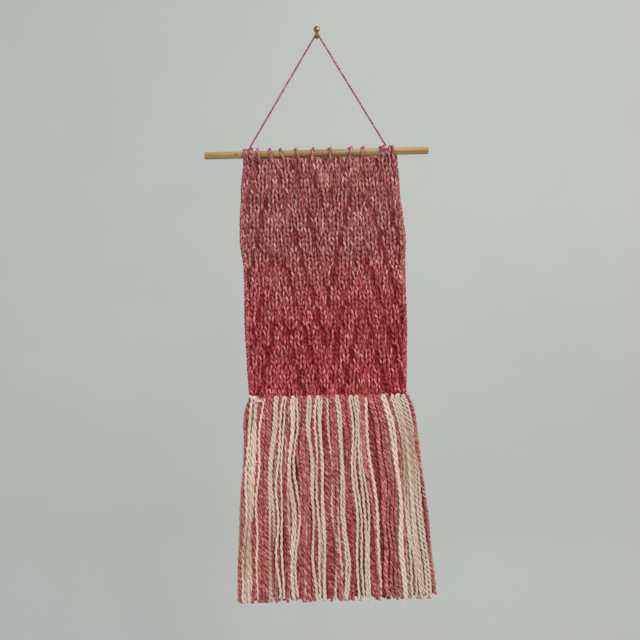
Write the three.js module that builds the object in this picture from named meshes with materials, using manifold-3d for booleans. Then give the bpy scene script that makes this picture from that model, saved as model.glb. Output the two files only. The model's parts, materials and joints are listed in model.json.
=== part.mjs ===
// Knitted wall hanging: a rib-knit panel lashed to a wooden dowel, with a long yarn fringe,
// a hanging cord and the brass picture hook that carries it.
// Millimetres. +Z is up, the front faces -Y, and the back of the hook's strip is the plane y = 0.
// The origin is the middle of the nail's shank, level with the back of the strip.
import * as THREE from "three";
import { mergeVertices } from "three/addons/utils/BufferGeometryUtils.js";
import Module from "manifold-3d";

const wasm = await Module();
wasm.setup();

// Driving dimensions

const GAP = 0.3; // room left between pieces that touch
const CLOTH_Y = -9; // middle of the dowel and of the cloth, in front of the hook's back
const MERGE_DISTANCE = 1e-4; // corners of a solid this near to each other are one

const DOWEL = { length: 305, diameter: 9.5, chamfer: 0.6, sides: 24, middleX: -5.7, drop: 172.3 };
DOWEL.tilt = THREE.MathUtils.degToRad(0.46); // the right end hangs a little lower

// Brass strip, bent up in front of the cord.
const HOOK = {
  width: 4.4,
  thickness: 1,
  top: 3, // upper end above the nail's middle
  throat: 4.4, // room for the cord between the strip and the tongue
  bendDrop: 10.4, // middle of the bend below the nail's middle
  tongueDrop: 4.5, // end of the tongue below the nail's middle
};
const NAIL = { radius: 0.95, length: 16, headRadius: 4.2, headThickness: 2.4 };

// Hanging cord, from the left tie over the hook to the right tie.
const CORD = { diameter: 2.4, sides: 8, steps: 73 }; // odd, so that one step lies level in the hook
const CORD_ROUTE = [
  [-96.2, -9, -161.4],
  [-73.1, -7.6, -124],
  [-50, -6.1, -86.5],
  [-26.8, -4.7, -49.1],
  [-3.7, -3.2, -11.7],
  [-3.1, -3.2, -11],
  [-2.2, -3.2, -10.8],
  [0, -3.2, -10.8],
  [2.2, -3.2, -10.8],
  [3.1, -3.2, -11],
  [3.8, -3.2, -11.7],
  [25.1, -4.7, -50],
  [46.5, -6.1, -88.3],
  [67.8, -7.6, -126.6],
  [89.2, -9, -164.9],
];

// Lashing yarn, which goes through the cloth at the bite's depth below the dowel's axis.
const LASHING = { diameter: 2.6, bite: 13.6, clearance: 0.6, holeRoom: 0.4, sides: 6, stepsPerLoop: 16 };

// Wraps of the hanging cord round the dowel, with a knot on them, turned from the top to the front.
const TIES = [
  { name: "left_tie", middleX: -95.4, wraps: 2, knotRadius: 2.3, knotTurn: 0 },
  { name: "right_tie", middleX: 86, wraps: 4, knotRadius: 2.8, knotTurn: 50 },
];
const TIE_YARN = 2.4;

const PANEL = {
  thickness: 5,
  topDrop: 7.9, // top edge below the dowel's axis
  bottomDrop: 335, // bottom edge below the dowel's axis, at the panel's middle
  bottomSlope: -0.012, // the bottom edge falls a little to the right
  columns: 46,
  rows: 20,
  edgeRound: 0.45, // share of the thickness that is left at the side edges
};

// Chevron ribs: two-stitch ribs that fan out from two spines, with a purl groove between ribs.
const RIB = { pitch: 24.6, lean: 0.25, grooveDepth: 2.4, grooveWidth: 3.6 };
const SPINES = { left: -64, valley: 1, right: 50 };

// Side edges of the panel: how far below the dowel's axis, and where each edge is.
const OUTLINE = [
  { drop: 7, left: -105.5, right: 104 },
  { drop: 54, left: -110.7, right: 106.2 },
  { drop: 95, left: -113.4, right: 109.8 },
  { drop: 116, left: -114.1, right: 112 },
  { drop: 158, left: -110, right: 110.1 },
  { drop: 239, left: -111.3, right: 110 },
  { drop: 280, left: -109.9, right: 108.2 },
  { drop: 340, left: -108.5, right: 105.8 },
];

// Loops of the lashing yarn over the dowel, left to right: where each crosses the top,
// and how far to the side it has gone when it bites into the cloth.
const LASHING_RUNS = [
  { name: "lashing_left", loops: [{ x: -104.2, lean: 1.5 }, { x: -101.2, lean: 1.5 }] },
  {
    name: "lashing",
    loops: [
      { x: -86.4, lean: 4 },
      { x: -69.3, lean: 3.5 },
      { x: -54.9, lean: 5.5 },
      { x: -33.8, lean: 5 },
      { x: -9.9, lean: -2.5 },
      { x: 13.3, lean: -1 },
      { x: 42, lean: -4 },
      { x: 58.4, lean: -3.5 },
    ],
  },
  { name: "lashing_right", loops: [{ x: 94, lean: -2.5 }, { x: 97.3, lean: 1.5 }] },
];

const FRINGE = {
  stripHeight: 4,
  stripDepth: 9,
  strandWidth: 3.2,
  strandSteps: 4,
  stations: [0, 0.08, 0.3, 0.65, 1], // shares of a strand's length where its line is set
  tipDrop: 608, // mean end of the strands below the dowel's axis
  tipScatter: 4,
  sway: 2.2,
  flare: 0.55, // the strands spread soonest near their roots
};
// Rows of strands, front to back: how many, where in depth, and where the outer ones start and end.
const FRINGE_ROWS = [
  { count: 51, y: -12.2, topLeft: -107, topRight: 105, endLeft: -130, endRight: 136 },
  { count: 49, y: -6, topLeft: -104.7, topRight: 102.7, endLeft: -126, endRight: 130 },
];

// Materials

const yarnMaterial = (color) => new THREE.MeshStandardMaterial({ color, roughness: 0.95, metalness: 0 });
const roseYarn = yarnMaterial(0x9c4a52);
const creamYarn = yarnMaterial(0xcbb9a4);
const wood = new THREE.MeshStandardMaterial({ color: 0xb08d4e, roughness: 0.6, metalness: 0 });
const brass = new THREE.MeshStandardMaterial({ color: 0xb58a3a, roughness: 0.3, metalness: 1 });

// Solids

function toSolid(geometry) {
  const bare = geometry.index ? geometry.toNonIndexed() : geometry.clone();
  bare.deleteAttribute("normal");
  bare.deleteAttribute("uv");
  const merged = mergeVertices(bare, MERGE_DISTANCE);
  return new wasm.Manifold(
    new wasm.Mesh({
      numProp: 3,
      vertProperties: new Float32Array(merged.attributes.position.array),
      triVerts: new Uint32Array(merged.index.array),
    }),
  );
}

function toGeometry(solid) {
  const { vertProperties, triVerts } = solid.getMesh();
  const geometry = new THREE.BufferGeometry();
  geometry.setAttribute("position", new THREE.BufferAttribute(vertProperties, 3));
  geometry.setIndex(new THREE.BufferAttribute(triVerts, 1));
  geometry.computeVertexNormals();
  return geometry;
}

function joined(geometries) {
  return geometries.map(toSolid).reduce((whole, piece) => whole.add(piece));
}

function named(name, geometry, material) {
  const mesh = new THREE.Mesh(geometry, material);
  mesh.name = name;
  return mesh;
}

// A round or square yarn along a smooth line of points.
function yarn(points, radius, sides, steps) {
  const section = new THREE.Shape(
    Array.from({ length: sides }, (_, k) => {
      const angle = ((k + 0.5) / sides) * 2 * Math.PI;
      return new THREE.Vector2(radius * Math.cos(angle), radius * Math.sin(angle));
    }),
  );
  const extrudePath = new THREE.CatmullRomCurve3(points, false, "centripetal");
  return new THREE.ExtrudeGeometry(section, { steps, bevelEnabled: false, extrudePath });
}

// Points of an arc in a plane: place turns an angle's cosine and sine into a point.
function arc(from, to, count, place) {
  return Array.from({ length: count + 1 }, (_, k) => {
    const angle = THREE.MathUtils.degToRad(from + ((to - from) * k) / count);
    return place(Math.cos(angle), Math.sin(angle));
  });
}

// Height of the dowel's axis at x.
const axisZ = (x) => -DOWEL.drop - Math.tan(DOWEL.tilt) * (x - DOWEL.middleX);

// Dowel

function makeDowel() {
  const radius = DOWEL.diameter / 2;
  const half = DOWEL.length / 2;
  const profile = [
    [0, -half],
    [radius - DOWEL.chamfer, -half],
    [radius, -half + DOWEL.chamfer],
    [radius, half - DOWEL.chamfer],
    [radius - DOWEL.chamfer, half],
    [0, half],
  ].map(([r, along]) => new THREE.Vector2(r, along));
  const mesh = named("dowel", new THREE.LatheGeometry(profile, DOWEL.sides), wood);
  mesh.position.set(DOWEL.middleX, CLOTH_Y, -DOWEL.drop);
  mesh.rotation.set(0, DOWEL.tilt, Math.PI / 2, "YXZ");
  return mesh;
}

// Picture hook: a flat strip behind the cord, a bend under it and a tongue in front of it.

function hookPlate(bottom, top, y) {
  const half = HOOK.width / 2;
  const outline = new THREE.Shape();
  outline.moveTo(-half, bottom);
  outline.lineTo(half, bottom);
  outline.absarc(0, top - half, half, 0, Math.PI);
  return new THREE.ExtrudeGeometry(outline, { depth: HOOK.thickness, bevelEnabled: false, curveSegments: 8 })
    .rotateX(Math.PI / 2)
    .translate(0, y, 0);
}

function makeHook() {
  const { width, thickness, throat, bendDrop } = HOOK;
  const ring = new THREE.Shape();
  ring.absarc(0, 0, throat / 2 + thickness, Math.PI, 2 * Math.PI);
  ring.absarc(0, 0, throat / 2, 2 * Math.PI, Math.PI, true);
  const bend = new THREE.ExtrudeGeometry(ring, { depth: width, bevelEnabled: false, curveSegments: 12 })
    .rotateX(Math.PI / 2)
    .rotateZ(Math.PI / 2)
    .translate(-width / 2, -throat / 2 - thickness, -bendDrop);
  const strip = joined([
    hookPlate(-bendDrop, HOOK.top, 0),
    bend,
    hookPlate(-bendDrop, -HOOK.tongueDrop, -throat - thickness),
  ]);
  const hole = new THREE.CylinderGeometry(NAIL.radius + GAP, NAIL.radius + GAP, 4 * thickness, 16);
  return named("wall_hook", toGeometry(strip.subtract(toSolid(hole))), brass);
}

// Nail with a domed round head in front of the strip, and its point behind it.

function makeNail() {
  const { radius, length, headRadius, headThickness } = NAIL;
  const seat = -HOOK.thickness - GAP;
  const profile = [
    [0, seat - headThickness],
    [0.5 * headRadius, seat - 0.9 * headThickness],
    [0.85 * headRadius, seat - 0.6 * headThickness],
    [headRadius, seat - 0.2 * headThickness],
    [headRadius, seat],
    [radius, seat],
    [radius, length - 3 * radius],
    [0, length],
  ].map(([r, y]) => new THREE.Vector2(r, y));
  return named("hook_nail", new THREE.LatheGeometry(profile, 20), brass);
}

// Hanging cord: two straight legs, bent over the hook.

function makeCord() {
  const route = CORD_ROUTE.map((point) => new THREE.Vector3(...point));
  return named("hanging_cord", yarn(route, CORD.diameter / 2, CORD.sides, CORD.steps), roseYarn);
}

// Ties: wraps of cord side by side round the dowel, with a knot on them.

function makeTie({ name, middleX, wraps, knotRadius, knotTurn }) {
  const inner = DOWEL.diameter / 2 + GAP;
  const half = (wraps * TIE_YARN) / 2;
  const profile = [new THREE.Vector2(inner, -half), new THREE.Vector2(inner, half)];
  for (let wrap = wraps - 1; wrap >= 0; wrap--) {
    const middle = (wrap + 0.5) * TIE_YARN - half;
    for (const side of [0.45, 0.2, -0.2, -0.45]) {
      const rise = 0.5 * TIE_YARN * (1 + 2 * Math.sqrt(0.25 - side * side));
      profile.push(new THREE.Vector2(inner + rise, middle + side * TIE_YARN));
    }
  }
  profile.push(profile[0].clone());
  const ring = new THREE.LatheGeometry(profile.reverse(), 14).rotateZ(Math.PI / 2);
  const knot = new THREE.SphereGeometry(knotRadius, 10, 6)
    .scale(1.3, 1, 0.6)
    .translate(0, 0, inner + 0.7 * TIE_YARN)
    .rotateX(THREE.MathUtils.degToRad(knotTurn));
  const mesh = named(name, toGeometry(joined([ring, knot])), roseYarn);
  mesh.position.set(middleX, CLOTH_Y, axisZ(middleX));
  mesh.rotation.y = DOWEL.tilt;
  return mesh;
}

// Lashing: whip stitches that go over the dowel, through the cloth and up behind it again.

function lashingRoute(loops) {
  const reach = DOWEL.diameter / 2 + LASHING.clearance + LASHING.diameter / 2;
  const at = (x, y, z) => new THREE.Vector3(x, CLOTH_Y + y, axisZ(x) + z);
  const points = [at(loops[0].x - 1.2, reach, -1), at(loops[0].x - 0.6, 0.72 * reach, 0.72 * reach)];
  loops.forEach(({ x, lean }, k) => {
    const bite = x + lean;
    const last = k + 1 === loops.length;
    const next = last ? bite : loops[k + 1].x;
    points.push(
      at(x, 0, reach),
      at(x + 0.15 * lean, -0.72 * reach, 0.72 * reach),
      at(x + 0.35 * lean, -reach, 0),
      at(x + 0.75 * lean, -0.85 * reach, -0.62 * LASHING.bite),
      at(bite, 0, -LASHING.bite),
      at(bite + 0.25 * (next - bite), 0.85 * reach, -0.62 * LASHING.bite),
    );
    if (last) return;
    points.push(
      at(bite + 0.65 * (next - bite), reach, 0),
      at(bite + 0.85 * (next - bite), 0.72 * reach, 0.72 * reach),
    );
  });
  return points;
}

function lashingYarn(loops, radius) {
  return yarn(lashingRoute(loops), radius, LASHING.sides, LASHING.stepsPerLoop * loops.length);
}

function makeLashing({ name, loops }) {
  return named(name, lashingYarn(loops, LASHING.diameter / 2), roseYarn);
}

// Knitted panel: one sheet that keeps its thickness and goes back at each purl groove.

function edgesAt(drop) {
  const next = OUTLINE.findIndex((row) => row.drop >= drop);
  const upper = OUTLINE[Math.max(next - 1, 0)];
  const lower = OUTLINE[Math.max(next, 0)];
  const share = upper === lower ? 0 : (drop - upper.drop) / (lower.drop - upper.drop);
  const eased = share * share * (3 - 2 * share);
  return {
    left: THREE.MathUtils.lerp(upper.left, lower.left, eased),
    right: THREE.MathUtils.lerp(upper.right, lower.right, eased),
  };
}

// How far the cloth goes back at x, a given way below the dowel.
function grooveAt(x, drop) {
  const spine = x < SPINES.valley ? SPINES.left : SPINES.right;
  const phase = (Math.abs(x - spine) - RIB.lean * drop) / RIB.pitch;
  const away = (phase - Math.round(phase)) * RIB.pitch;
  return RIB.grooveDepth * Math.exp(-((away / RIB.grooveWidth) ** 2));
}

function panelPoint(across, down, face) {
  const drop = THREE.MathUtils.lerp(PANEL.topDrop, PANEL.bottomDrop, down);
  const { left, right } = edgesAt(drop);
  const x = THREE.MathUtils.lerp(left, right, across);
  const fromEdge = Math.min(across, 1 - across) * PANEL.columns;
  const half = (PANEL.thickness / 2) * (fromEdge < 0.5 ? PANEL.edgeRound : 1);
  const z = axisZ(x) - drop + PANEL.bottomSlope * (x - DOWEL.middleX) * down;
  return [x, CLOTH_Y + grooveAt(x, drop) + face * half, z];
}

function makePanel() {
  const { columns, rows } = PANEL;
  const position = [];
  for (const face of [-1, 1])
    for (let row = 0; row <= rows; row++)
      for (let column = 0; column <= columns; column++)
        position.push(...panelPoint(column / columns, row / rows, face));
  const backStart = (columns + 1) * (rows + 1);
  const front = (column, row) => row * (columns + 1) + column;
  const index = [];
  const quad = (a, b, c, d) => index.push(a, b, c, a, c, d);
  for (let row = 0; row < rows; row++)
    for (let column = 0; column < columns; column++) {
      const corners = [
        front(column, row),
        front(column, row + 1),
        front(column + 1, row + 1),
        front(column + 1, row),
      ];
      quad(...corners);
      quad(...corners.map((corner) => corner + backStart).reverse());
    }
  const rim = [];
  for (let column = 0; column < columns; column++) rim.push(front(column, 0));
  for (let row = 0; row < rows; row++) rim.push(front(columns, row));
  for (let column = columns; column > 0; column--) rim.push(front(column, rows));
  for (let row = rows; row > 0; row--) rim.push(front(0, row));
  rim.forEach((corner, k) => {
    const following = rim[(k + 1) % rim.length];
    quad(corner, following, following + backStart, corner + backStart);
  });
  const sheet = new THREE.BufferGeometry();
  sheet.setAttribute("position", new THREE.Float32BufferAttribute(position, 3));
  sheet.setIndex(index);
  const holeRadius = LASHING.diameter / 2 + LASHING.holeRoom;
  const holes = LASHING_RUNS.map(({ loops }) => toSolid(lashingYarn(loops, holeRadius)));
  const pierced = holes.reduce((cloth, hole) => cloth.subtract(hole), toSolid(sheet));
  return named("knit_panel", toGeometry(pierced), roseYarn);
}

// Fringe: strands that hang apart, with their roots in one narrow strip under the panel's edge.

const stripTop = (x) => axisZ(x) - PANEL.bottomDrop + PANEL.bottomSlope * (x - DOWEL.middleX) - GAP;

function makeStrip() {
  const { left, right } = edgesAt(PANEL.bottomDrop);
  const outline = new THREE.Shape([
    new THREE.Vector2(left, stripTop(left)),
    new THREE.Vector2(left, stripTop(left) - FRINGE.stripHeight),
    new THREE.Vector2(right, stripTop(right) - FRINGE.stripHeight),
    new THREE.Vector2(right, stripTop(right)),
  ]);
  return new THREE.ExtrudeGeometry(outline, { depth: FRINGE.stripDepth, bevelEnabled: false })
    .rotateX(Math.PI / 2)
    .translate(0, CLOTH_Y + FRINGE.stripDepth / 2, 0);
}

function makeStrand(row, k) {
  const { count, y, topLeft, topRight, endLeft, endRight } = row;
  const share = k / (count - 1);
  const topX = THREE.MathUtils.lerp(topLeft, topRight, share);
  const endX = THREE.MathUtils.lerp(endLeft, endRight, share);
  const topZ = stripTop(topX) - 0.5 * FRINGE.stripHeight;
  const endZ = axisZ(endX) - FRINGE.tipDrop + FRINGE.tipScatter * Math.sin(2.4 * k * k + y);
  const points = FRINGE.stations.map((down) => {
    const sway = FRINGE.sway * Math.sin(Math.PI * down) * Math.sin(15 * share + 4 * down + y);
    return new THREE.Vector3(
      THREE.MathUtils.lerp(topX, endX, down ** FRINGE.flare) + sway,
      y,
      THREE.MathUtils.lerp(topZ, endZ, down),
    );
  });
  return yarn(points, FRINGE.strandWidth / Math.SQRT2, 4, FRINGE.strandSteps);
}

function makeFringe() {
  const strands = FRINGE_ROWS.flatMap((row) =>
    Array.from({ length: row.count }, (_, k) => makeStrand(row, k)));
  return named("fringe", toGeometry(joined([makeStrip(), ...strands])), creamYarn);
}

const hanging = new THREE.Group();
hanging.add(
  makeDowel(),
  makeHook(),
  makeNail(),
  makeCord(),
  ...TIES.map(makeTie),
  ...LASHING_RUNS.map(makeLashing),
  makePanel(),
  makeFringe(),
);

export default hanging;
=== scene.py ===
"""Knitted wall hanging: stitches, fringe, cord, dowel and hook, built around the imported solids."""

import json
import math
import random

import bmesh
import bpy
import numpy as np
from bpy.props import FloatProperty, FloatVectorProperty, IntProperty, PointerProperty
from mathutils import Matrix, Vector

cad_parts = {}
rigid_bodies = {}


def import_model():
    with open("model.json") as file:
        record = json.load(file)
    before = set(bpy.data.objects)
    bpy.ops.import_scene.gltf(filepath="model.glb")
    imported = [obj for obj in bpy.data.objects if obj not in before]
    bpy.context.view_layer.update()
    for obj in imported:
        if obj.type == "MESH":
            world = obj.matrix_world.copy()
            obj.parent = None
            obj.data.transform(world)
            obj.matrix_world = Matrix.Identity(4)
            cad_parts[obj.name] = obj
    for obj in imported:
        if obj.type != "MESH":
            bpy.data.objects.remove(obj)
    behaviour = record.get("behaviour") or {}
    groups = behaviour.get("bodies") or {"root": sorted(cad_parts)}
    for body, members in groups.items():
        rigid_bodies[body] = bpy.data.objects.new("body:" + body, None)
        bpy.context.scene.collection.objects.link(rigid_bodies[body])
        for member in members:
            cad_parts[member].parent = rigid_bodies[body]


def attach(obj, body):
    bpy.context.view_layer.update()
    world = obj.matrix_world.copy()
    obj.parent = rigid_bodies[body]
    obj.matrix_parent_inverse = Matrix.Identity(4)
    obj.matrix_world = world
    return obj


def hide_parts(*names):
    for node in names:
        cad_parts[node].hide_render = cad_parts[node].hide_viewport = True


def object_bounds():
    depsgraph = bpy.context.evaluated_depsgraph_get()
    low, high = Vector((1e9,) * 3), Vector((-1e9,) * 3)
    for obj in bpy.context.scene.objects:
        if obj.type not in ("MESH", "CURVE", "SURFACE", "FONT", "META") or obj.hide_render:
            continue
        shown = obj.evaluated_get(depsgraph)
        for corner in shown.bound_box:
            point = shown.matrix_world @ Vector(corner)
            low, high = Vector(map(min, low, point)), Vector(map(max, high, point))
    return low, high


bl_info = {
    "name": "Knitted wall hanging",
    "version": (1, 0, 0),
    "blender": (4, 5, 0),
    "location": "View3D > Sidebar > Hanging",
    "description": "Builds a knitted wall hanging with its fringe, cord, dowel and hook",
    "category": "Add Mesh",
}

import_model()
CAD_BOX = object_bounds()

# Sizes are in millimetres, in the frame of the solids: the front faces -Y and the hook's back is y = 0.
MM = 0.001
CLOTH_Y = -9.0
# How far the faces of the knit, the fringe and the lashing stand from their middle, where their painted
# shade gives way to full colour.
KNIT_FACE = 4.0
FRINGE_FACE = 5.0
LASHING_FACE = 7.0

# Dowel: its drop is from the hook's nail to its axis.
DOWEL_LENGTH = 305.0
DOWEL_RADIUS = 4.75
DOWEL_CHAMFER = 0.6
DOWEL_MIDDLE_X = -5.7
DOWEL_DROP = 172.3
DOWEL_TILT = math.radians(0.46)
# Small knot in the wood: where along the dowel, and how far in front of its axis.
WOOD_KNOT_X = -115.2
WOOD_KNOT_FRONT = 4.2
# Form of the dowel: sides, lengths along it, radius of the cap in each end and least angle of a sharp edge.
DOWEL_SIDES = 48
DOWEL_RINGS = 12
DOWEL_CENTRE = 0.3
DOWEL_SHARP = math.radians(30)

# Panel: its top and bottom edges are drops below the dowel's axis.
PANEL_TOP = 7.9
PANEL_BOTTOM = 335.0
BOTTOM_SLOPE = -0.012
# Side edges of the panel: drop below the dowel's axis, left edge, right edge.
OUTLINE = (
    (7.0, -105.5, 104.0),
    (54.0, -110.7, 106.2),
    (95.0, -113.4, 109.8),
    (116.0, -114.1, 112.0),
    (158.0, -110.0, 110.1),
    (239.0, -111.3, 110.0),
    (280.0, -109.9, 108.2),
    (340.0, -108.5, 105.8),
)

# Ribs fan out from two spines and meet in a valley between them.
LEFT_SPINE = -64.0
VALLEY = 1.0
RIGHT_SPINE = 50.0
RIB_PITCH = 24.6
RIB_LEAN = 0.25
# A rib goes straight down for three rows and moves aside in the fourth.
ROWS_A_RISE = 4
RIB_RISE = 26.7
# Grooves: width, strength near the dowel, gain between two drops, and fade beside a spine.
GROOVE_WIDTH = 3.6
GROOVE_START = 0.48
GROOVE_GAIN = 0.34
GROOVE_DROPS = (30.0, 260.0)
SPINE_FADE = 10.0
# Waves over the cloth, each a size, a turn across and a turn down, in radians a millimetre.
STRENGTH_WAVES = ((0.2, 0.11, 0.04), (0.15, 0.05, -0.09))
WOBBLE_WAVES = ((1.2, 0.13, 0.07), (0.8, -0.05, 0.19))

# Stitches: height of a loop in rows, its sway in columns, and the spread of its height and place.
LOOP_HEIGHT = 0.78
LOOP_SWAY = 0.17
HEIGHT_SPREAD = 0.15
ASIDE_SPREAD = 0.55
DEPTH_SPREAD = 0.35
# How far a purl stitch turns to the back of the cloth, and how far inside its edge a row's yarn turns up.
PURL_TURN = 1.5
ROW_TURN = 1.2
# Least share of a purl column and most of a knit column that a column may be wide.
NARROWEST = 0.7
WIDEST = 1.45
KNIT_SEED = 11

# Twisted pairs of yarn along the cloth's edges: place, length of a turn, reach, thickness and depths.
SELVEDGE_INSET = 2.4
SELVEDGE_MARGIN = 1.0
SELVEDGE_LIFT = 0.5
SELVEDGE_TURN = 9.0
SELVEDGE_REACH = 1.3
SELVEDGE_SCALE = 0.8
SELVEDGE_DEPTHS = {"left": -0.5, "right": -0.5, "top": 0.3, "bottom": -1.5}

# Thin sheet in the middle of the knit, of painted deep shade that shows between the stitches.
SHADE_SHEET_COLUMNS = 150
SHADE_SHEET_ROWS = 80
SHADE_SHEET_HALF = 0.4
SHADE_SHEET_INSET = 3.0
SHADE_SHEET_MARGIN = 1.5

# Loops of the lashing yarn, in three runs: where each crosses the dowel, and its lean.
# The yarn goes through the cloth at the bite, and over the dowel at its reach from the axis.
LASHING_BITE = 13.6
LASHING_REACH = 6.65
LASHING_STEP = 0.9
LASHING_RUNS = {
    "lashing_left": ((-104.2, 1.5), (-101.2, 1.5)),
    "lashing": (
        (-86.4, 4.0),
        (-69.3, 3.5),
        (-54.9, 5.5),
        (-33.8, 5.0),
        (-9.9, -2.5),
        (13.3, -1.0),
        (42.0, -4.0),
        (58.4, -3.5),
    ),
    "lashing_right": ((94.0, -2.5), (97.3, 1.5)),
}

# Strands of the fringe from left to right: C is cream yarn and R is rose yarn.
FRONT_STRANDS = "RCCCRCRRRCCRCCRCCCRRRCCRCCCRCRRCCRRRCCCCRRCRRRRRCCRCCCCCCR"
MIDDLE_STRANDS = "RCCCRRRRRRCRRCRRRRCRRRRCRRRRCRRRRRCRRRRRRRRRCCCCCCCCCR"
BACK_STRANDS = "CRCRRCCRRRCRRCRRCCRRCRRRCRCRRRCCRRRRRRCRRRCRCCCCC"
# Rows of strands: chart, depth, outer roots, outer ends, thickness, looseness, sides and steps of a strand.
FRINGE_ROWS = {
    "front": (FRONT_STRANDS, -12.2, (-107.0, 107.0), (-130.0, 136.0), 1.0, 1.0, 10, 250),
    "middle": (MIDDLE_STRANDS, -9.0, (-105.0, 104.0), (-128.0, 133.0), 1.55, 0.2, 6, 130),
    "back": (BACK_STRANDS, -6.0, (-107.0, 107.5), (-132.0, 136.0), 1.45, 0.2, 6, 130),
}
# The strands spread from their roots to their ends by this power of the way down.
FLARE = 0.55
FRINGE_SEED = 6
# How far under the panel's edge a strand starts, and how soon below that it hangs free.
ROOT_DROP = 2.0
ROOT_FREE = 25.0
# A single strand's root rises and goes in behind the cloth's middle, and a looped pair goes over its edge.
ROOT_RISE = 4.5
ROOT_BEHIND = 1.0
ROOT_ANGLES = (1.4, 1.0, 0.6, 0.25)
ARCH_RISE = 5.5
ARCH_FRONT = 0.5
ARCH_STEPS = 8
# Waves over the whole fringe: turn across it, turn down it and start, in radians.
SWAY_WAVE = (15.0, 4.0, -12.2)
CLUMP_WAVE = (44.0, 2.0, 1.3)
DEPTH_WAVE = (40.0, 9.0, 0.0)
DEPTH_SWAY = 0.6
# Least and most size of the waves that neighbours share, of a strand's own waves and of its small kinks.
SHARED_SIZES = (0.6, 1.6)
OWN_SIZES = (0.2, 0.8)
KINK_SIZES = (0.1, 0.35)
# Least and most turn of the slow waves and of the small kinks along a strand, in radians.
SLOW_TURNS = (5.0, 20.0)
KINK_TURNS = (60.0, 120.0)
# Drift of neighbours across other strands: spread aside, depths, and its middle and width along them.
DRIFT_ASIDE = 3.0
DRIFT_DEPTHS = (-1.8, 2.8)
DRIFT_MIDDLES = (0.2, 1.0)
DRIFT_WIDTH = 0.3
# Scatter of the strands' roots, ends and depths, and least and most share of a strand's thickness.
ROOT_SCATTER = 0.5
END_SCATTER = 3.0
DEPTH_SCATTER = 1.0
STRAND_SIZES = (0.9, 1.2)
# Knot of cream yarn at the panel's left corner, with its two short ends.
CORNER_STEP = 1.0
CORNER_TONE = 0.8
CORNER_KNOT = (
    (-108.0, -13.5, -500.0),
    (-104.5, -15.0, -502.5),
    (-100.5, -16.5, -502.0),
    (-98.0, -15.0, -505.5),
    (-101.5, -13.5, -508.5),
    (-105.0, -15.5, -506.0),
    (-101.5, -17.0, -503.0),
    (-98.0, -16.0, -506.5),
    (-94.0, -15.5, -507.5),
    (-90.0, -15.5, -507.0),
)

# Middle line of the hanging cord, in metres, from the left tie over the hook to the right tie.
CORD_ROUTE = (
    (-0.0962, -0.009, -0.1614),
    (-0.0731, -0.0076, -0.124),
    (-0.05, -0.0061, -0.0865),
    (-0.0268, -0.0047, -0.0491),
    (-0.0037, -0.0032, -0.0117),
    (-0.0031, -0.0032, -0.011),
    (-0.0022, -0.0032, -0.0108),
    (0.0, -0.0032, -0.0108),
    (0.0022, -0.0032, -0.0108),
    (0.0031, -0.0032, -0.011),
    (0.0038, -0.0032, -0.0117),
    (0.0251, -0.0047, -0.05),
    (0.0465, -0.0061, -0.0883),
    (0.0678, -0.0076, -0.1266),
    (0.0892, -0.009, -0.1649),
)
# Step between the points of the yarn, in millimetres, and its tone.
CORD_STEP = 1.0
CORD_TONE = 0.6

# Ties of the cord round the dowel: middle, wraps, size of the knot and its turn to the front.
TIES = {"left_tie": (-95.4, 2, 0.75, 0.0), "right_tie": (86.0, 3, 1.4, 50.0)}
TIE_REACH = 6.3
TIE_PITCH = 3.0
TIE_SLANT = 1.3
TIE_START = -1.2
WRAP_STEPS = 12
KNOT_STEPS = 18
# Unevenness of the wraps: size and turn a step.
WRAP_WAVES = ((0.5, 3.1), (0.4, 0.7))
# The knot is a trefoil: share of its double loop, how far it stands forward and up, and its crossings.
KNOT_LOOP = 1.6
KNOT_FORWARD = 1.5
KNOT_UP = 0.7
KNOT_CROSSING = 0.9
# Loose end, from the tie's middle on the axis.
TIE_END = (3.0, -8.6, -1.5)
TIE_STEP = 0.7
TIE_TONE = 0.45

# Brass picture hook: a strip bent up in front of the cord, and a nail with a domed head.
HOOK_WIDTH = 4.4
HOOK_THICKNESS = 1.0
HOOK_BEVEL = 0.22
HOOK_TOP = 3.0
HOOK_THROAT = 4.4
BEND_DROP = 10.4
TONGUE_DROP = 4.5
HOLE_RADIUS = 1.25
NAIL_RADIUS = 0.95
NAIL_LENGTH = 16.0
NAIL_SEAT = -1.3
HEAD_RADIUS = 4.2
HEAD_THICKNESS = 2.4
# Rim of the head as a share of its thickness, rings of its dome and where the first one is.
HEAD_RIM = 0.15
HEAD_RINGS = 10
HEAD_START = 0.05
NAIL_POINT = 0.1
NAIL_SIDES = 40
NAIL_SHARP = math.radians(40)
HOLE_SIDES = 32
# Steps round the strip's bend and round each of its ends, and where an end starts.
BEND_STEPS = 25
ROUNDING_STEPS = 9
ROUNDING_START = 0.2
HOOK_SHARP = math.radians(35)

# Yarns: plies, sides of the section, how far a ply stands out in radii, and the length of a turn in metres.
PLIES = 2
KNIT_TWIST = {"sides": 6, "ply_depth": 0.14, "turn_length": 0.045}
CORD_TWIST = {"sides": 8, "ply_depth": 0.14, "turn_length": 0.009}
LASHING_TWIST = {"sides": 8, "ply_depth": 0.16, "turn_length": 0.02}
CREAM_TWIST = {"ply_depth": 0.24, "turn_length": 0.0165}
ROSE_TWIST = {"ply_depth": 0.17, "turn_length": 0.012}
# A strand's tone sets how long its turns are, in shares of the yarn's, and where they start.
TURN_LEAST = 0.8
TURN_SPREAD = 0.4
TURN_START = 7.0

# Tints of the shade between yarns, deep in the knit and in the fringe.
KNIT_SHADE = (0.52, 0.22, 0.23)
ROSE_SHADE = (0.7, 0.44, 0.44)
CREAM_SHADE = (0.56, 0.42, 0.36)
# Warm tints of the cream yarn: its own colour in its streaks, and painted shade between its plies.
CREAM_STREAK = (0.82, 0.74, 0.66)
CREAM_PLY_SHADE = (0.8, 0.74, 0.7)
# How far the palest rose strands go towards the light colour.
ROSE_PALE = 0.25
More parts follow.
